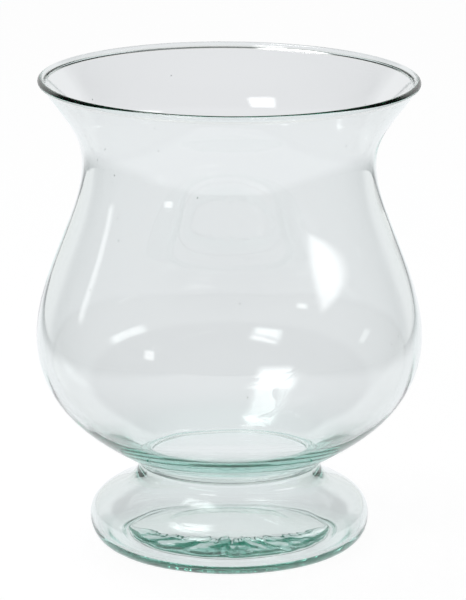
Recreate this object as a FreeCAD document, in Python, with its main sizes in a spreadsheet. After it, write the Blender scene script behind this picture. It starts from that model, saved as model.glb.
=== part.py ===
import FreeCAD, Part
import math
import os

import Sketcher

# A clear glass vase: a blown bowl with a flared mouth, standing on a hollow, flattened foot.
# Z is the vase's axis and points up. The origin is the middle of the circle that the foot rests on.
# Every piece is turned round the axis from a half section, which is drawn across (X) and up (Z).
# The sections are chains of smooth spans with four poles each, straight lines and one arc.

doc = FreeCAD.newDocument("FootedVase")

# Sizes, in millimetres
SIZES = {
    # Outline, from the floor up. Each rise starts where the one below it ends, and the flare above
    # the waist takes what is left of the height.
    "height": 240.0,
    "foot_radius": 70.9,
    "foot_widest_height": 13.8,
    "shoulder_rise": 28.2,
    "crease_radius": 46.0,
    "belly_rise": 66.5,
    "belly_radius": 97.7,
    "waist_rise": 88.0,
    "waist_radius": 74.0,
    "lip_radius": 95.9,
    # Glass thickness
    "bowl_wall": 2.4,
    "crease_wall": 3.4,
    "foot_wall": 2.5,
    "heel_thickness": 5.0,
    "base_thickness": 4.0,
    "lip_thickness": 3.2,
    # Underside, from the worn flat that touches the floor in to the middle
    "rest_radius": 57.0,
    "rest_width": 3.0,
    "heel_width": 3.5,
    "heel_rise": 1.3,
    "punty_width": 19.0,
    "punty_rise": 2.9,
    "dome_rise": 1.3,
    # Ragged ring left by the iron that held the foot
    "punty_thickness": 1.5,
}

# Shares of a span's own height or width, which place its two middle poles. The lip's lean is the
# share of a step up the flare's end that goes outwards.
SHARES = {
    "shoulder_top_share": 0.52,
    "shoulder_low_share": 0.594,
    "bowl_bottom_share": 0.09,
    "belly_low_share": 0.702,
    "belly_high_share": 0.348,
    "waist_low_share": 0.29,
    "waist_high_share": 0.444,
    "flare_share": 0.446,
    "lip_lean_share": 0.5,
    "hip_share": 0.694,
    "heel_share": 0.43,
    "inner_bottom_share": 0.12,
    "inner_belly_share": 0.69,
    "inner_hip_share": 0.75,
    "inner_heel_share": 0.35,
    "floor_share": 0.4,
    "dome_share": 0.35,
    "ring_share": 0.25,
}

sheet = doc.addObject("Spreadsheet::Sheet", "Sizes")
for row, (name, number) in enumerate({**SIZES, **SHARES}.items(), start=1):
    sheet.set(f"A{row}", str(number))
    sheet.setAlias(f"A{row}", name)
doc.recompute()

# Places that several pieces share, as expressions on the sheet: heights, then (across, up) spots
CREASE_Z = "(Sizes.foot_widest_height + Sizes.shoulder_rise)"
BELLY_Z = f"({CREASE_Z} + Sizes.belly_rise)"
WAIST_Z = f"({BELLY_Z} + Sizes.waist_rise)"
TOP_Z = "Sizes.height"
FLOOR = AXIS = "0"
CREASE = ("Sizes.crease_radius", CREASE_Z)
INNER_CREASE = ("(Sizes.crease_radius - Sizes.crease_wall)", CREASE_Z)
REST_OUTER = "(Sizes.rest_radius + Sizes.rest_width / 2)"
REST_INNER = "(Sizes.rest_radius - Sizes.rest_width / 2)"
PUNTY_OUTER = (f"({REST_INNER} - Sizes.heel_width)", "Sizes.heel_rise")
PUNTY_INNER = (f"({PUNTY_OUTER[0]} - Sizes.punty_width)", "(Sizes.heel_rise + Sizes.punty_rise)")
PUNTY_SLOPE = "(Sizes.punty_rise / Sizes.punty_width)"

START, END, CENTRE = 1, 2, 3
ORIGIN = (-1, START)


def measure(expression):
    """The number, in millimetres, that an expression on the sheet gives."""
    return float(sheet.evalExpression(expression))


def at(spot):
    """The point that an (across, up) pair of expressions gives."""
    return FreeCAD.Vector(measure(spot[0]), measure(spot[1]), 0)


def section(body, name):
    """An empty sketch on the body's own XZ plane."""
    sketch = body.newObject("Sketcher::SketchObject", name)
    plane = next(item for item in body.Origin.OriginFeatures if item.Role == "XZ_Plane")
    sketch.AttachmentSupport = (plane, [""])
    sketch.MapMode = "FlatFace"
    return sketch


def bind(sketch, kind, points, expression):
    """Adds a measured constraint and binds it to an expression."""
    number = sketch.addConstraint(Sketcher.Constraint(kind, *points, measure(expression)))
    sketch.setExpression(f"Constraints[{number}]", expression)


def draw(sketch, segments):
    """Draws segments that share their end spots: two spots make a line, four make a smooth span.

    A spot is bound to the sheet where it is first met, and ends that meet it later are tied to it.
    The segments' numbers are returned.
    """
    numbers = []
    placed = {}
    for spots in segments:
        points = [at(spot) for spot in spots]
        if len(spots) == 2:
            number = sketch.addGeometry(Part.LineSegment(*points), False)
        else:
            curve = Part.BSplineCurve(points, None, None, False, len(points) - 1, None, False)
            number = sketch.addGeometry(curve, False)
            sketch.exposeInternalGeometry(number)
            for pole, spot in enumerate(spots[1:-1], start=2):
                bind(sketch, "DistanceX", (*ORIGIN, number + pole, CENTRE), spot[0])
                bind(sketch, "DistanceY", (*ORIGIN, number + pole, CENTRE), spot[1])
        for end, spot in ((START, spots[0]), (END, spots[-1])):
            if spot in placed:
                sketch.addConstraint(Sketcher.Constraint("Coincident", *placed[spot], number, end))
            else:
                bind(sketch, "DistanceX", (*ORIGIN, number, end), spot[0])
                bind(sketch, "DistanceY", (*ORIGIN, number, end), spot[1])
                placed[spot] = (number, end)
        numbers.append(number)
    return numbers


def upright(low, high, low_share, high_share):
    """Poles of a span that leaves one spot upright and reaches the next one upright."""
    rise = f"({high[1]} - {low[1]})"
    return (low, (low[0], f"{low[1]} + Sizes.{low_share} * {rise}"),
            (high[0], f"{high[1]} - Sizes.{high_share} * {rise}"), high)


def turn(body, sketch):
    """Turns the closed section once round the vase's axis."""
    solid = body.newObject("PartDesign::Revolution", "Turned")
    solid.Profile = sketch
    solid.ReferenceAxis = (sketch, ["V_Axis"])
    solid.Angle = 360
    sketch.Visibility = False


def make_bowl():
    """The blown bowl: crease, belly, waist, flare and the fire-rounded lip, open at both ends."""
    body = doc.addObject("PartDesign::Body", "Bowl")
    body.Label = "bowl"
    sketch = section(body, "BowlSection")
    lip_middle = ("(Sizes.lip_radius - Sizes.lip_thickness / 2)", f"({TOP_Z} - Sizes.lip_thickness / 2)")
    flare_rise = f"({lip_middle[1]} - {WAIST_Z})"
    along, across = "Sizes.lip_lean_share", "sqrt(1 - Sizes.lip_lean_share ^ 2)"

    def from_lip(back, out):
        """A spot that lies back down the flare from the middle of the lip, and out from it."""
        return (f"({lip_middle[0]} - {back} * {along} + {out} * {across})",
                f"({lip_middle[1]} - {back} * {across} - {out} * {along})")

    def face(crease, depth, bottom_share, belly_share, flare_out, lip_out):
        """The three spans of one face of the wall, at a depth inside the vase's outline."""
        belly = (f"(Sizes.belly_radius - {depth})", BELLY_Z)
        waist = (f"(Sizes.waist_radius - {depth})", WAIST_Z)
        flare = (waist, (waist[0], f"({WAIST_Z} + Sizes.waist_high_share * {flare_rise})"),
                 from_lip(f"(Sizes.flare_share * {flare_rise})", flare_out), from_lip("0", lip_out))
        return [upright(crease, belly, bottom_share, belly_share),
                upright(belly, waist, "belly_high_share", "waist_low_share"), flare]

    half_lip = "(Sizes.lip_thickness / 2)"
    outside = face(CREASE, "0", "bowl_bottom_share", "belly_low_share", half_lip, half_lip)
    inside = face(INNER_CREASE, "Sizes.bowl_wall", "inner_bottom_share", "inner_belly_share",
                  f"({half_lip} - Sizes.bowl_wall)", f"(-{half_lip})")
    numbers = draw(sketch, [(INNER_CREASE, CREASE), *outside, *inside])
    outer_flare, inner_flare = numbers[len(outside)], numbers[-1]

    circle = Part.Circle(at(lip_middle), FreeCAD.Vector(0, 0, 1), measure(half_lip))
    tilt = math.asin(measure(along))
    lip = sketch.addGeometry(Part.ArcOfCircle(circle, -tilt, math.pi - tilt), False)
    sketch.addConstraint(Sketcher.Constraint("Coincident", outer_flare, END, lip, START))
    sketch.addConstraint(Sketcher.Constraint("Coincident", inner_flare, END, lip, END))
    bind(sketch, "DistanceY", (*ORIGIN, lip, CENTRE), lip_middle[1])
    turn(body, sketch)
    return body


def make_foot():
    """The hollow foot: open to the bowl at the crease, closed below by a base that is pushed up."""
    body = doc.addObject("PartDesign::Body", "Foot")
    body.Label = "foot"
    sketch = section(body, "FootSection")
    widest_z = "Sizes.foot_widest_height"
    widest = ("Sizes.foot_radius", widest_z)
    inner_radius = "(Sizes.foot_radius - Sizes.foot_wall)"
    inner_widest = (inner_radius, widest_z)
    rest_outer = (REST_OUTER, FLOOR)
    rest_inner = (REST_INNER, FLOOR)
    kick = (AXIS, f"({PUNTY_INNER[1]} + Sizes.dome_rise)")
    inside_middle = (AXIS, f"({kick[1]} + Sizes.base_thickness)")
    inside_heel = ("Sizes.rest_radius", "Sizes.heel_thickness")

    outside = upright(widest, CREASE, "shoulder_low_share", "shoulder_top_share")
    hip = (widest, (widest[0], f"(1 - Sizes.hip_share) * {widest_z}"),
           (f"{REST_OUTER} + Sizes.heel_share * (Sizes.foot_radius - {REST_OUTER})", FLOOR), rest_outer)
    run = "Sizes.heel_share * Sizes.heel_width"
    heel = (rest_inner, (f"{REST_INNER} - {run}", FLOOR),
            (f"{PUNTY_OUTER[0]} + {run}", f"{PUNTY_OUTER[1]} - {PUNTY_SLOPE} * {run}"), PUNTY_OUTER)
    run = f"Sizes.dome_share * {PUNTY_INNER[0]}"
    dome = (PUNTY_INNER, (f"{PUNTY_INNER[0]} - {run}", f"{PUNTY_INNER[1]} + {PUNTY_SLOPE} * {run}"),
            (run, kick[1]), kick)
    run = "Sizes.floor_share * Sizes.rest_radius"
    inside_floor = (inside_middle, (run, inside_middle[1]),
                    (f"Sizes.rest_radius - {run}", inside_heel[1]), inside_heel)
    inside_hip = (inside_heel,
                  (f"Sizes.rest_radius + Sizes.inner_heel_share * ({inner_radius} - Sizes.rest_radius)",
                   inside_heel[1]),
                  (inner_radius,
                   f"{widest_z} - Sizes.inner_hip_share * ({widest_z} - {inside_heel[1]})"),
                  inner_widest)
    inside = upright(inner_widest, INNER_CREASE, "shoulder_low_share", "shoulder_top_share")
    draw(sketch, [outside, hip, (rest_outer, rest_inner), heel, (PUNTY_OUTER, PUNTY_INNER), dome,
                  (kick, inside_middle), inside_floor, inside_hip, inside, (INNER_CREASE, CREASE)])
    turn(body, sketch)
    return body


def make_punty_ring():
    """The ragged ring of glass that lies against the sloping land of the foot's underside."""
    body = doc.addObject("PartDesign::Body", "PuntyRing")
    body.Label = "punty_ring"
    sketch = section(body, "PuntySection")
    run = "Sizes.ring_share * Sizes.punty_width"
    climb = "Sizes.ring_share * Sizes.punty_rise"
    bulge = (PUNTY_OUTER,
             (f"{PUNTY_OUTER[0]} - {run}", f"{PUNTY_OUTER[1]} + {climb} - Sizes.punty_thickness"),
             (f"{PUNTY_INNER[0]} + {run}", f"{PUNTY_INNER[1]} - {climb} - Sizes.punty_thickness"),
             PUNTY_INNER)
    draw(sketch, [bulge, (PUNTY_OUTER, PUNTY_INNER)])
    turn(body, sketch)
    return body


pieces = [make_bowl(), make_foot(), make_punty_ring()]
doc.recompute()

for item in doc.Objects:
    if "Invalid" in item.State or "Error" in item.State:
        raise RuntimeError(f"{item.Label} was not built: {item.State}")
for piece in pieces:
    if piece.Shape.isNull() or not piece.Shape.isValid() or len(piece.Shape.Solids) != 1:
        raise RuntimeError(f"{piece.Label} is not one valid solid")

os.makedirs("parts", exist_ok=True)
for piece in pieces:
    piece.Shape.exportStep(f"parts/{piece.Label}.step")
    box = piece.Shape.BoundBox
    print(f"{piece.Label}: {piece.Shape.Volume / 1000:.1f} cm3, z {box.ZMin:.2f} to {box.ZMax:.2f},"
          f" across {box.XLength:.2f}")
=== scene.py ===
import math
import random

import bpy
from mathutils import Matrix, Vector, noise


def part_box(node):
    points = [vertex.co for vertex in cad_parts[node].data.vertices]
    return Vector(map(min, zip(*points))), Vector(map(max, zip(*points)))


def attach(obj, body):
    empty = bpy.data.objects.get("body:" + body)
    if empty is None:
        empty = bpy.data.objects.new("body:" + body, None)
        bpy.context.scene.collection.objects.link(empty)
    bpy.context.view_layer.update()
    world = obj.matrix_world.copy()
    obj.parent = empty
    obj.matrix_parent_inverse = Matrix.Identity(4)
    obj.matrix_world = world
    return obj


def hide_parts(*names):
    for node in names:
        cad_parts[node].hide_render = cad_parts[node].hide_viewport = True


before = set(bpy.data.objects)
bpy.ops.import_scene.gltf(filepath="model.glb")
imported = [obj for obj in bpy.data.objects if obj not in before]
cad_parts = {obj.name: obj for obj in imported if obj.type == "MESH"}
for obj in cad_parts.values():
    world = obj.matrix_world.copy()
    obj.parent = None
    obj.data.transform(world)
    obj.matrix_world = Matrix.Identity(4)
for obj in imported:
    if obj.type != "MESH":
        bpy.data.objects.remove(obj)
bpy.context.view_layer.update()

MM = 0.001
UP = Vector((0, 0, 1))
WHITE = (1, 1, 1, 1)

# Sizes that the frame gives, in metres
foot_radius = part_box("foot")[1].x
crease_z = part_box("foot")[1].z
belly_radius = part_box("bowl")[1].x
top_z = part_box("bowl")[1].z
scar_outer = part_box("punty_ring")[1].x
scar_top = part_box("punty_ring")[1].z

# The rest of the outline, as in the CAD part. The lip's lean is the share of a step up the flare's
# end that goes outwards
FOOT_WIDEST_HEIGHT = 13.8 * MM
CREASE_RADIUS = 46.0 * MM
BELLY_RISE = 66.5 * MM
WAIST_RISE = 88.0 * MM
WAIST_RADIUS = 74.0 * MM
LIP_RADIUS = 95.9 * MM
LIP_LEAN = 0.5
REST_OUTER = 58.5 * MM
REST_INNER = 55.5 * MM

# The underside rises in from the rest, evenly over the band where the iron sat, and then to the middle
BAND_WIDTH = 19.0 * MM
BAND_EDGE_RISE = 1.3 * MM
BAND_STEPS = 24
KICK_HEIGHT = 4.5 * MM

# Spans of the outline: how far each runs straight on from its first end, and straight into its last
# one, as shares of its rise or width, and its steps
HIP_SPAN = (0.43, 0.694, 30)
SHOULDER_SPAN = (0.594, 0.52, 70)
BELLY_SPAN = (0.09, 0.702, 80)
WAIST_SPAN = (0.348, 0.29, 50)
FLARE_SPAN = (0.444, 0.446, 110)
HEEL_SPAN = (0.75, 0.35, 24)
LIP_STEPS = 16

# Spans with one share for both ends
FLOOR_SPAN = (0.4, 20)
REST_SPAN = (0.43, 12)
KICK_SPAN = (0.35, 24)

# Thickness of the glass. It is greatest at the crease and thins out along the outside, fast down the
# foot and slower up the bowl. Each thinning has a length and a power
WALL = 2.0 * MM
CREASE_WALL = 6.0 * MM
FOOT_WALL = 2.5 * MM
FOOT_THINNING = (6.5 * MM, 2)
BOWL_THINNING = (18 * MM, 3)

# The bead of the lip swells out of the wall near its end. The inside swells by a share of what the
# outside does
LIP_THICKNESS = 3.4 * MM
LIP_SWELLING_LENGTH = 2.5 * MM
LIP_INNER_SHARE = 0.25

# Inside the foot: where its side meets the floor, across and up. The floor follows the underside
# from a little inside the scar's edge to the middle
INSIDE_HEEL = (62.0 * MM, 5.2 * MM)
BASE_WALL = 4.3 * MM
FLOOR_INSET = 3 * MM

# The bowl stands this far over the foot at the crease, and the scar hangs this far under the foot
HAIR = 0.01 * MM

# How far the hand-blown walls stray: to an oval, in slow and finer waves and in streaks. The lip is
# also tilted
OVAL = 0.4 * MM
WANDER = 0.10 * MM
FINE_SHARE = 0.5
STREAKS = 0.035 * MM
LIP_TILT = 0.7 * MM

# Heights between which the straying, the oval and the tilt set in. All but the tilt fades inside the
# calm radius
WANDER_HEIGHTS = (0, 20 * MM)
OVAL_HEIGHTS = (50 * MM, 150 * MM)
TILT_HEIGHTS = (0.5 * top_z, top_z)
CALM_RADIUS = 20 * MM

# How fine the waves are, which for the streaks is one number round the wall and one up it, and the
# places where their noise is read, outside and inside
SLOW_WAVES = 22
FINE_WAVES = 45
STREAK_WAVES = (9, 7)
SLOW_PLACE = Vector((3.1, 7.7, 1.9))
FINE_PLACES = (Vector((5.5, 1.2, 2.8)), Vector((5.5, 1.2, 9.6)))
STREAK_PLACES = (Vector((4.2, 2.6, 8.4)), Vector((11.3, 2.6, 8.4)))

# Corners in a ring round the axis. A point of the outline that is nearer the axis than this makes a tip
SEGMENTS = 256
ON_AXIS = 1e-7

# Seeds, the small bubbles in the bowl's wall. They start at a height and end some points of the
# outline below the lip
SEED_COUNT = 34
SEED_RADII = (0.14 * MM, 0.34 * MM)
SEED_STRETCH = 1.5
SEED_RINGS = 6
SEED_SIDES = 10
SEEDS_START = 75 * MM
POINTS_WITHOUT_SEEDS = 30
RANDOM_START = 7

# The scar's width in front, at the sides and at the back. Each turn says how far forward a direction
# points, from -1 behind to 1 in front, where one width starts and has finished giving way to the next
SCAR_FRONT_WIDTH = 28 * MM
SCAR_SIDE_WIDTH = 12 * MM
SCAR_BACK_WIDTH = 1.5 * MM
SCAR_SIDE_TURN = (-0.2, 0.15)
SCAR_FRONT_TURN = (0.1, 1.0)
SCAR_INSET = 0.9 * MM

# The share of the room under the foot that the scar fills in front, and the part of it at the back.
# Over shares of the way in from the edge it swells and closes
SCAR_DEPTH = 0.7
SCAR_BACK_PART = 0.3
SCAR_SWELLING = (0, 0.4)
SCAR_CLOSING = (0.93, 1.0)
SCAR_THINNEST = 0.02 * MM
SCAR_ROWS = 40

# Waves of the scar's outer edge, its width and its depth: how fine each is round the scar and
# inwards, and how high
EDGE_WAVES = ((4, 9, 0.8 * MM),)
WIDTH_WAVES = ((4, 3, 0.25), (14, 0, 0.2))
DEPTH_WAVES = ((5, 2.2, 0.25), (12, 5, 0.08))

# Glass
GLASS_IOR = 1.52
GLASS_TINT = (0.40, 0.77, 0.69, 1)
RIPPLE_DETAIL = 2
BOUNCES = 128

# Light levels of the studio, where 1 is white. The room in front is lit for rays that come through
# the glass alone, at a share of the backdrop's level
BACKDROP_LEVEL = 0.85
BACKDROP_COLOUR = (0.972, 0.972, 0.995, 1)
STUDIO_LEVEL = 0.04
CEILING_LEVEL = 0.20
ROOM_SHARE = 0.6

# Where the backdrop's sides and top and the ceiling start and end, as parts of a direction's length
BACKDROP_SIDES = (0.50, 0.75)
BACKDROP_TOP = (0.38, 0.50)
CEILING_EDGE = (0.70, 0.95)

# The table: its sides in metres, how far it lies under the foot, its surface, the levels at which it
# glows for each kind of ray, and the share of its look that the glow makes. The glow for rays mirrored
# in the glass is a painted reflection, brighter than white, and the glow for rays through the glass is
# painted shade, a little darker than white. Both fade darker over the fade length at the sides and front
TABLE_LEFT, TABLE_RIGHT = -0.55, 0.55
TABLE_FRONT, TABLE_BACK = -1.0, 2.6
TABLE_GAP = 0.1 * MM
TABLE_COLOUR = (0.86, 0.86, 0.88, 1)
TABLE_ROUGHNESS = 0.7
TABLE_FADE = 0.25
TABLE_SEEN = 1.12
TABLE_THROUGH_GLASS = 0.86
TABLE_MIRRORED = 1.15
GLOW_SHARE = 0.85

# Softboxes: their distance in metres, the height that they face, and the part of each side that fades.
# A side is folded at its middle, to count the fade from both of its ends
SOFTBOX_DISTANCE = 1.6
SOFTBOX_AIM_HEIGHT = 0.1
SOFTBOX_FADE = 0.25
SOFTBOX_FOLD = 0.5

# Camera, fitted to the outline in the photograph. PX lengths are pixels of the photograph at the vase
PHOTO_HEIGHT_PX = 600
VASE_HEIGHT_PX = 475.5
CAMERA_DISTANCE_PX = 4000
PIXEL = top_z / VASE_HEIGHT_PX
CAMERA_DOWN = math.radians(14.492)
LOOK_HEIGHT_PX = 248.6
CAMERA_RIGHT_PX = 3.6
FILM_MM = 36
FARTHEST_SEEN = 50


def make_camera():
    """A long lens in front of the vase, looking down on it."""
    data = bpy.data.cameras.new("camera")
    data.sensor_width = FILM_MM
    data.lens = data.sensor_width * CAMERA_DISTANCE_PX / PHOTO_HEIGHT_PX
    data.clip_end = FARTHEST_SEEN
    camera = bpy.data.objects.new("camera", data)
    bpy.context.scene.collection.objects.link(camera)
    distance = CAMERA_DISTANCE_PX * PIXEL
    camera.location = (CAMERA_RIGHT_PX * PIXEL, -distance * math.cos(CAMERA_DOWN),
                       LOOK_HEIGHT_PX * PIXEL + distance * math.sin(CAMERA_DOWN))
    camera.rotation_euler = (math.pi / 2 - CAMERA_DOWN, 0, 0)
    bpy.context.scene.camera = camera


# Outline curves, whose points have a radius and a height

def span(poles, steps):
    """Points along a smooth span with four poles, without its last one."""
    a, b, c, d = (Vector(pole) for pole in poles)
    points = []
    for step in range(steps):
        t = step / steps
        s = 1 - t
        points.append(s ** 3 * a + 3 * s * s * t * b + 3 * s * t * t * c + t ** 3 * d)
    return points


def upright(low, high, low_share, high_share, steps):
    """A span that leaves one point upright and reaches the next one upright."""
    rise = high[1] - low[1]
    poles = (low, (low[0], low[1] + low_share * rise), (high[0], high[1] - high_share * rise), high)
    return span(poles, steps)


def smooth(low, high, value):
    """0 below low, 1 above high and a smooth step between."""
    t = min(1.0, max(0.0, (value - low) / (high - low)))
    return t * t * (3 - 2 * t)


def thinning(distance, thinnest, length, power):
    """Thickness of a wall that thins out with the distance from the crease."""
    return thinnest + (CREASE_WALL - thinnest) / (1 + (distance / length) ** power)


def inward(points, thickness):
    """The inside line: each point moved square to the line by the wall there."""
    moved = []
    for index, point in enumerate(points):
        ahead = points[min(index + 1, len(points) - 1)] - points[max(index - 1, 0)]
        ahead.normalize()
        moved.append(point + Vector((-ahead.y, ahead.x)) * thickness[index])
    return moved


def lengths(points):
    """Distance along the line at each point."""
    total = 0
    found = [0]
    for near, far in zip(points[:-1], points[1:]):
        total += (far - near).length
        found.append(total)
    return found


def bowl_outline():
    """Outside line of the bowl up from the crease, the lip, and the inside line up from the crease."""
    half = LIP_THICKNESS / 2
    upward = Vector((LIP_LEAN, math.sqrt(1 - LIP_LEAN ** 2)))
    outward = Vector((upward.y, -upward.x))
    bulge = (LIP_THICKNESS - WALL) / (1 + LIP_INNER_SHARE)
    middle = Vector((LIP_RADIUS - half, top_z - half))
    crease = (CREASE_RADIUS, crease_z)
    belly = (belly_radius, crease_z + BELLY_RISE)
    waist = (WAIST_RADIUS, belly[1] + WAIST_RISE)
    rise = middle.y - waist[1]
    flare_end = middle + (half - bulge) * outward
    leave, reach, steps = FLARE_SPAN
    flare = (waist, (waist[0], waist[1] + leave * rise), flare_end - reach * rise * upward, flare_end)
    line = upright(crease, belly, *BELLY_SPAN) + upright(belly, waist, *WAIST_SPAN) + span(flare, steps)
    line.append(flare_end)
    along = lengths(line)
    swelling_start = along[-1] - LIP_SWELLING_LENGTH
    swelling = [bulge * smooth(swelling_start, along[-1], distance) for distance in along]
    outside = inward(line, [-more for more in swelling])
    inside = inward(line, [thinning(distance, WALL, *BOWL_THINNING) + LIP_INNER_SHARE * more
                           for distance, more in zip(along, swelling)])
    lip = []
    for step in range(1, LIP_STEPS):
        turn = math.pi * step / LIP_STEPS
        lip.append(middle + half * (math.cos(turn) * outward + math.sin(turn) * upward))
    return outside, lip, inside


def foot_outline():
    """Outside line up from the table to the crease, and inside line from the crease to the middle."""
    crease = (CREASE_RADIUS, crease_z)
    widest = (foot_radius, FOOT_WIDEST_HEIGHT)
    leave, reach, steps = HIP_SPAN
    hip = span(((REST_OUTER, 0), (REST_OUTER + leave * (foot_radius - REST_OUTER), 0),
                (foot_radius, (1 - reach) * FOOT_WIDEST_HEIGHT), widest), steps)
    shoulder = upright(widest, crease, *SHOULDER_SPAN)
    shoulder.append(Vector(crease))
    along = lengths(shoulder)
    walls = [thinning(along[-1] - distance, FOOT_WALL, *FOOT_THINNING) for distance in along]
    inside = inward(shoulder, walls)[::-1]
    inner_widest = inside[-1]
    heel_x, heel_z = INSIDE_HEEL
    leave, reach, steps = HEEL_SPAN
    inside += span((inner_widest, (inner_widest.x, inner_widest.y - leave * (inner_widest.y - heel_z)),
                    (heel_x + reach * (inner_widest.x - heel_x), heel_z), INSIDE_HEEL), steps)[1:]
    floor = [point + Vector((0, BASE_WALL)) for point in underside() if point.x < scar_outer - FLOOR_INSET]
    share, steps = FLOOR_SPAN
    run = share * (heel_x - floor[0].x)
    floor_slope = (floor[1] - floor[0]).normalized()
    inside += span((INSIDE_HEEL, (heel_x - run, heel_z), floor[0] - run * floor_slope, floor[0]), steps)
    return hip + shoulder, inside + floor


def underside():
    """The foot's underside, from the rest in to the middle."""
    band_outer = (scar_outer, BAND_EDGE_RISE)
    band_inner = (scar_outer - BAND_WIDTH, scar_top)
    slope = (scar_top - BAND_EDGE_RISE) / BAND_WIDTH
    share, steps = REST_SPAN
    run = share * (REST_INNER - scar_outer)
    points = span(((REST_INNER, 0), (REST_INNER - run, 0), (scar_outer + run, BAND_EDGE_RISE - slope * run),
                   band_outer), steps)
    points += [Vector(band_outer).lerp(Vector(band_inner), step / BAND_STEPS) for step in range(BAND_STEPS)]
    share, steps = KICK_SPAN
    run = share * band_inner[0]
    points += span((band_inner, (band_inner[0] - run, scar_top + slope * run), (run, KICK_HEIGHT),
                    (0, KICK_HEIGHT)), steps)
    points.append(Vector((0, KICK_HEIGHT)))
    return points


# Meshes

def turned(radius, angle, height):
    """The place at a radius, an angle round the axis and a height."""
    return Vector((radius * math.cos(angle), radius * math.sin(angle), height))


def wander(angle, radius, height, inner):
    """How far the blown wall strays from a turned one, outwards. The inside strays in its own way."""
    across = turned(1, angle, 0)
    oval = -OVAL * math.cos(2 * angle) * smooth(*OVAL_HEIGHTS, height)
    place = across * radius + UP * height
    slow = noise.noise(place * SLOW_WAVES + SLOW_PLACE)
    fine = noise.noise(place * FINE_WAVES + FINE_PLACES[inner])
    round_it, up_it = STREAK_WAVES
    streak = noise.noise(across * round_it + UP * height * up_it + STREAK_PLACES[inner])
    stray = oval + WANDER * (slow + FINE_SHARE * fine) + STREAKS * streak
    return smooth(*WANDER_HEIGHTS, height) * stray


def corner_at(point, angle, inner):
    """Where a point of the outline comes to lie, at an angle round the axis."""
    radius = point.x + min(1, point.x / CALM_RADIUS) * wander(angle, point.x, point.y, inner)
    lift = -LIP_TILT * math.cos(angle) * smooth(*TILT_HEIGHTS, point.y)
    return turned(radius, angle, point.y + lift)


def place_ring(point, inner):
    """One ring of corners round the axis through a point of the outline."""
    if point.x < ON_AXIS:
        return [Vector((0, 0, point.y))]
    return [corner_at(point, math.tau * segment / SEGMENTS, inner) for segment in range(SEGMENTS)]


def join_rings(rings, closed):
    """Corners and faces of a turned surface, from its rings in order. One corner makes a tip."""
    corners = []
    starts = []
    for ring in rings:
        starts.append(len(corners))
        corners += ring
    faces = []
    pairs = list(zip(range(len(rings)), range(1, len(rings))))
    if closed:
        pairs.append((len(rings) - 1, 0))
    # The ring half way is never a tip
    segments = len(rings[len(rings) // 2])
    for low, high in pairs:
        for segment in range(segments):
            after = (segment + 1) % segments
            a, b = starts[low] + segment, starts[low] + after
            c, d = starts[high] + after, starts[high] + segment
            if len(rings[low]) == 1:
                faces.append((starts[low], c, d))
            elif len(rings[high]) == 1:
                faces.append((a, b, starts[high]))
            else:
                faces.append((a, b, c, d))
    return corners, faces


def add_seeds(corners, faces, middle_line):
    """Tiny bubbles in the wall, as closed shells whose faces look into the bubble."""
    chance = random.Random(RANDOM_START)
    angles = [math.tau * side / SEED_SIDES for side in range(SEED_SIDES)]
    for _ in range(SEED_COUNT):
        centre = corner_at(chance.choice(middle_line), chance.uniform(0, math.tau), False)
        size = chance.uniform(*SEED_RADII)
        rings = [[centre + UP * size * SEED_STRETCH]]
        for ring in range(1, SEED_RINGS):
            polar = math.pi * ring / SEED_RINGS
            rise = SEED_STRETCH * math.cos(polar)
            rings.append([centre + size * turned(math.sin(polar), angle, rise) for angle in angles])
        rings.append([centre - UP * size * SEED_STRETCH])
        start = len(corners)
        shell_corners, shell_faces = join_rings(rings, False)
        corners += shell_corners
        faces += [tuple(start + corner for corner in face) for face in shell_faces]


def make_piece(name, corners, faces, joined, material, node):
    """A smooth mesh that stands for a CAD node. A face that is fused to another piece has joined 1."""
    mesh = bpy.data.meshes.new(name)
    mesh.from_pydata(corners, [], faces)
    mesh.shade_smooth()
    mesh.attributes.new("joined", "FLOAT", "FACE").data.foreach_set("value", joined)
    mesh.materials.append(material)
    piece = bpy.data.objects.new(name, mesh)
    bpy.context.scene.collection.objects.link(piece)
    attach(piece, "root")
    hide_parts(node)


def make_bowl(material):
    """The blown bowl, open at both ends. The last faces of its shell close the wall at the crease."""
    outside, lip, inside = bowl_outline()
    outside[0] = outside[0] + Vector((0, HAIR))
    inside[0] = Vector((inside[0].x, outside[0].y))
    rings = [place_ring(point, False) for point in outside + lip]
    rings += [place_ring(point, True) for point in reversed(inside)]
    corners, faces = join_rings(rings, True)
    joined = [0.0] * (len(faces) - SEGMENTS) + [1.0] * SEGMENTS
    start = next(index for index, point in enumerate(outside) if point.y > SEEDS_START)
    walls = list(zip(outside, inside))[start:-POINTS_WITHOUT_SEEDS]
    add_seeds(corners, faces, [(outer + inner) / 2 for outer, inner in walls])
    joined += [0.0] * (len(faces) - len(joined))
    make_piece("bowl_glass", corners, faces, joined, material, "bowl")


def make_foot(material):
    """The hollow foot, open to the bowl and closed below."""
    outside, inside = foot_outline()
    inside[0] = Vector((inside[0].x, outside[-1].y))
    under = underside()[::-1]
    rings = [place_ring(point, False) for point in under + outside]
    rings += [place_ring(point, True) for point in inside]
    corners, faces = join_rings(rings, False)
    extents = [scar_extent(math.tau * (segment + 0.5) / SEGMENTS) for segment in range(SEGMENTS)]
    joined = []
    for row in range(len(rings) - 1):
        at_crease = row == len(under) + len(outside) - 1
        for edge, reach, _ in extents:
            over_scar = False
            if row < len(under) - 1:
                over_scar = edge - reach < (under[row].x + under[row + 1].x) / 2 < edge
            joined.append(float(over_scar or at_crease))
    make_piece("foot_glass", corners, faces, joined, material, "foot")


def underside_height(line, radius):
    """Height of the foot's underside at a radius."""
    for near, far in zip(line[:-1], line[1:]):
        if far.x <= radius:
            return near.lerp(far, (near.x - radius) / (near.x - far.x)).y


def scar_waves(across, share, kinds):
    """Sum of some kinds of waves in the scar, in a direction and at a share of the way in."""
    total = 0
    for round_it, inwards, height in kinds:
        total += height * noise.noise(across * round_it + UP * share * inwards)
    return total


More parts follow.
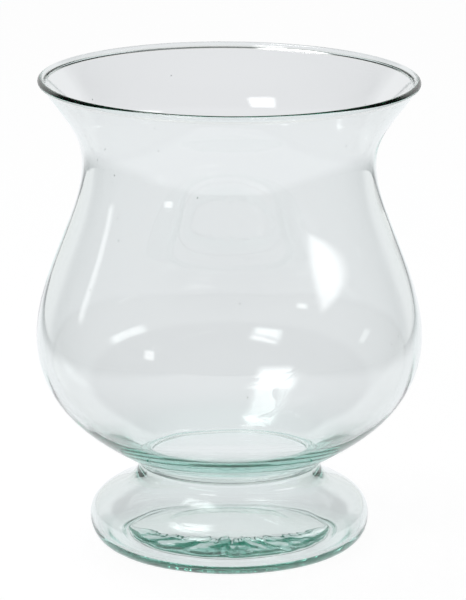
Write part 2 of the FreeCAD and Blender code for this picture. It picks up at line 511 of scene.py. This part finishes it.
def scar_extent(angle):
    """The scar's outer radius in a direction, how far in it reaches, and how broad it is from 0 to 1."""
    across = turned(1, angle, 0)
    broad = smooth(*SCAR_SIDE_TURN, -across.y)
    middle = smooth(*SCAR_FRONT_TURN, -across.y)
    width = SCAR_SIDE_WIDTH + middle * (SCAR_FRONT_WIDTH - SCAR_SIDE_WIDTH)
    width = width * (1 + scar_waves(across, 1, WIDTH_WAVES))
    edge = scar_outer - (SCAR_INSET + scar_waves(across, 1, EDGE_WAVES)) - HAIR
    return edge, SCAR_BACK_WIDTH + broad * width, broad


def scar_depth(angle, share, broad):
    """The part of the room under the foot that the scar fills, at a share of the way in."""
    depth = SCAR_DEPTH * (SCAR_BACK_PART + (1 - SCAR_BACK_PART) * broad) * smooth(*SCAR_SWELLING, share)
    depth = depth * (1 - smooth(*SCAR_CLOSING, share))
    return depth * (1 + scar_waves(turned(1, angle, 0), share, DEPTH_WAVES))


def make_scar(material):
    """The ragged scar that the iron left under the foot: broad in front, a thin line at the back."""
    line = underside()
    angles = [math.tau * segment / SEGMENTS for segment in range(SEGMENTS)]
    extents = [scar_extent(angle) for angle in angles]
    rings = []
    for row in range(2 * SCAR_ROWS + 1):
        lower = row <= SCAR_ROWS
        share = (row if lower else 2 * SCAR_ROWS - row) / SCAR_ROWS
        ring = []
        for angle, (edge, reach, broad) in zip(angles, extents):
            radius = edge - reach * share
            height = underside_height(line, radius) - HAIR
            if lower:
                height = height * (1 - scar_depth(angle, share, broad)) - SCAR_THINNEST
            ring.append(turned(radius, angle, height))
        rings.append(ring)
    corners, faces = join_rings(rings[::-1], True)
    upper_faces = SCAR_ROWS * SEGMENTS
    joined = [1.0] * upper_faces + [0.0] * (len(faces) - upper_faces)
    make_piece("punty_scar", corners, faces, joined, material, "punty_ring")


# Shader nodes

def feed(tree, value, socket):
    """Give a socket a number, or link another node's output to it."""
    if isinstance(value, bpy.types.NodeSocket):
        tree.links.new(value, socket)
    else:
        socket.default_value = value


def combine(tree, operation, first, second):
    """Add a math node to a tree. Gives its output."""
    node = tree.nodes.new("ShaderNodeMath")
    node.operation = operation
    feed(tree, first, node.inputs[0])
    feed(tree, second, node.inputs[1])
    return node.outputs["Value"]


def change(tree, value, ends, levels=(0, 1)):
    """Add a node that goes smoothly between levels as a value goes from end to end. Gives its output."""
    node = tree.nodes.new("ShaderNodeMapRange")
    node.interpolation_type = "SMOOTHSTEP"
    node.inputs["From Min"].default_value, node.inputs["From Max"].default_value = ends
    node.inputs["To Min"].default_value, node.inputs["To Max"].default_value = levels
    feed(tree, value, node.inputs["Value"])
    return node.outputs["Result"]


def split(tree, vector):
    """Add a node that splits a vector. Gives its three outputs."""
    node = tree.nodes.new("ShaderNodeSeparateXYZ")
    feed(tree, vector, node.inputs["Vector"])
    return node.outputs


def mix_shaders(tree, share, first, second):
    """Add a node that mixes a share of the second shader into the first. Gives its output."""
    node = tree.nodes.new("ShaderNodeMixShader")
    feed(tree, share, node.inputs["Fac"])
    tree.links.new(first, node.inputs[1])
    tree.links.new(second, node.inputs[2])
    return node.outputs["Shader"]


# Materials

def new_material(name):
    """A material with its nodes, and its main shader."""
    material = bpy.data.materials.new(name)
    material.use_nodes = True
    return material, material.node_tree, material.node_tree.nodes["Principled BSDF"]


def make_glass(name, density, roughness, ripple_height, ripple_scale):
    """Clear glass with a faint ripple, tinted by the path through it. Rays pass joined faces unbent."""
    material, tree, shader = new_material(name)
    shader.inputs["Base Color"].default_value = WHITE
    shader.inputs["Roughness"].default_value = roughness
    shader.inputs["IOR"].default_value = GLASS_IOR
    shader.inputs["Transmission Weight"].default_value = 1
    tint = tree.nodes.new("ShaderNodeVolumeAbsorption")
    tint.inputs["Color"].default_value = GLASS_TINT
    tint.inputs["Density"].default_value = density
    tree.links.new(tint.outputs["Volume"], tree.nodes["Material Output"].inputs["Volume"])
    place = tree.nodes.new("ShaderNodeTexCoord")
    ripple = tree.nodes.new("ShaderNodeTexNoise")
    ripple.inputs["Scale"].default_value = ripple_scale
    ripple.inputs["Detail"].default_value = RIPPLE_DETAIL
    bump = tree.nodes.new("ShaderNodeBump")
    bump.inputs["Strength"].default_value = 1
    bump.inputs["Distance"].default_value = ripple_height
    tree.links.new(place.outputs["Object"], ripple.inputs["Vector"])
    tree.links.new(ripple.outputs["Fac"], bump.inputs["Height"])
    tree.links.new(bump.outputs["Normal"], shader.inputs["Normal"])
    joined = tree.nodes.new("ShaderNodeAttribute")
    joined.attribute_name = "joined"
    through = tree.nodes.new("ShaderNodeBsdfTransparent")
    surface = mix_shaders(tree, joined.outputs["Fac"], shader.outputs["BSDF"], through.outputs["BSDF"])
    tree.links.new(surface, tree.nodes["Material Output"].inputs["Surface"])
    return material


def make_floor():
    """A white table with the vase's shadow on it. Mirrored in and seen through the glass it glows with
    painted light, which fades darker at its sides and front.
    """
    mesh = bpy.data.meshes.new("floor")
    corners = [(TABLE_LEFT, TABLE_FRONT, 0), (TABLE_RIGHT, TABLE_FRONT, 0),
               (TABLE_RIGHT, TABLE_BACK, 0), (TABLE_LEFT, TABLE_BACK, 0)]
    mesh.from_pydata(corners, [], [(0, 1, 2, 3)])
    floor = bpy.data.objects.new("floor", mesh)
    bpy.context.scene.collection.objects.link(floor)
    floor.location.z = -TABLE_GAP
    material, tree, shader = new_material("floor_white")
    shader.inputs["Base Color"].default_value = TABLE_COLOUR
    shader.inputs["Roughness"].default_value = TABLE_ROUGHNESS
    place = split(tree, tree.nodes.new("ShaderNodeTexCoord").outputs["Object"])
    from_left = change(tree, place["X"], (TABLE_LEFT, TABLE_LEFT + TABLE_FADE))
    from_right = change(tree, place["X"], (TABLE_RIGHT, TABLE_RIGHT - TABLE_FADE))
    from_front = change(tree, place["Y"], (TABLE_FRONT, TABLE_FRONT + TABLE_FADE))
    # Painted light: where the table's glow for the glass is full, fading darker towards its sides and front
    painted_glow = combine(tree, "MULTIPLY", combine(tree, "MULTIPLY", from_left, from_right), from_front)
    # Painted reflection brighter than white for mirrored rays; through the glass a painted shade a little
    # below white, never under the room's share
    mirrored = combine(tree, "MULTIPLY", painted_glow, TABLE_MIRRORED)
    painted_glow = combine(tree, "MAXIMUM", painted_glow, ROOM_SHARE)
    through_glass = combine(tree, "MULTIPLY", painted_glow, TABLE_THROUGH_GLASS)
    rays = tree.nodes.new("ShaderNodeLightPath")
    seen = shader.outputs["BSDF"]
    for ray, colour, level in (("Is Glossy Ray", BACKDROP_COLOUR, mirrored),
                               ("Is Transmission Ray", BACKDROP_COLOUR, through_glass),
                               ("Is Camera Ray", WHITE, TABLE_SEEN)):
        glow = tree.nodes.new("ShaderNodeEmission")
        glow.inputs["Color"].default_value = colour
        feed(tree, level, glow.inputs["Strength"])
        share = combine(tree, "MULTIPLY", rays.outputs[ray], GLOW_SHARE)
        seen = mix_shaders(tree, share, seen, glow.outputs["Emission"])
    tree.links.new(seen, tree.nodes["Material Output"].inputs["Surface"])
    mesh.materials.append(material)


def make_world():
    """A dim studio with a pale ceiling and a low white backdrop. The camera itself sees white all round."""
    world = bpy.data.worlds.new("studio")
    bpy.context.scene.world = world
    world.use_nodes = True
    tree = world.node_tree
    direction = split(tree, tree.nodes.new("ShaderNodeTexCoord").outputs["Generated"])
    rays = tree.nodes.new("ShaderNodeLightPath")
    behind = change(tree, direction["Y"], BACKDROP_SIDES)
    room = combine(tree, "MULTIPLY", rays.outputs["Is Transmission Ray"], ROOM_SHARE)
    below_top = change(tree, direction["Z"], BACKDROP_TOP, (BACKDROP_LEVEL, 0))
    overhead = change(tree, direction["Z"], CEILING_EDGE, (STUDIO_LEVEL, CEILING_LEVEL))
    walls = combine(tree, "MULTIPLY", combine(tree, "MAXIMUM", behind, room), below_top)
    studio = combine(tree, "MAXIMUM", walls, overhead)
    strength = combine(tree, "MAXIMUM", studio, rays.outputs["Is Camera Ray"])
    tree.links.new(strength, tree.nodes["Background"].inputs["Strength"])
    tree.nodes["Background"].inputs["Color"].default_value = WHITE


def make_softbox(name, azimuth, elevation, width, height, radiance):
    """A softbox with fading edges that faces the vase. Azimuth 0 is over the camera."""
    data = bpy.data.lights.new(name, "AREA")
    data.shape = "RECTANGLE"
    data.size = width
    data.size_y = height
    data.energy = math.pi * width * height * radiance
    data.use_nodes = True
    tree = data.node_tree
    spot = split(tree, tree.nodes.new("ShaderNodeNewGeometry").outputs["Parametric"])
    faded = []
    for side in ("X", "Y"):
        from_edge = combine(tree, "PINGPONG", spot[side], SOFTBOX_FOLD)
        faded.append(change(tree, from_edge, (0, SOFTBOX_FADE)))
    tree.links.new(combine(tree, "MULTIPLY", *faded), tree.nodes["Emission"].inputs["Strength"])
    lamp = bpy.data.objects.new(name, data)
    bpy.context.scene.collection.objects.link(lamp)
    turn, tilt = math.radians(azimuth), math.radians(elevation)
    direction = Vector((math.sin(turn) * math.cos(tilt), -math.cos(turn) * math.cos(tilt), math.sin(tilt)))
    lamp.location = direction * SOFTBOX_DISTANCE + UP * SOFTBOX_AIM_HEIGHT
    lamp.rotation_mode = "QUATERNION"
    lamp.rotation_quaternion = (-direction).to_track_quat("-Z", "Y")


make_camera()
bpy.context.scene.view_settings.view_transform = "Standard"
glass = make_glass("vase_glass", density=24, roughness=0, ripple_height=0.02 * MM, ripple_scale=60)
rough_glass = make_glass("scar_glass", density=140, roughness=0.1, ripple_height=0.03 * MM,
                         ripple_scale=250)
make_bowl(glass)
make_foot(glass)
make_scar(rough_glass)
make_floor()
make_world()
make_softbox("key", azimuth=-29, elevation=40, width=0.62, height=0.56, radiance=4.5)
make_softbox("side", azimuth=75, elevation=23, width=1.0, height=0.28, radiance=3)
make_softbox("top", azimuth=-108, elevation=72, width=0.9, height=0.6, radiance=6)
make_softbox("window", azimuth=-47, elevation=3, width=0.22, height=0.2, radiance=3)
make_softbox("strip", azimuth=-100, elevation=11, width=0.16, height=0.45, radiance=1.5)

cycles = bpy.context.scene.cycles
cycles.max_bounces = BOUNCES
cycles.transmission_bounces = BOUNCES
cycles.glossy_bounces = BOUNCES
cycles.transparent_max_bounces = BOUNCES
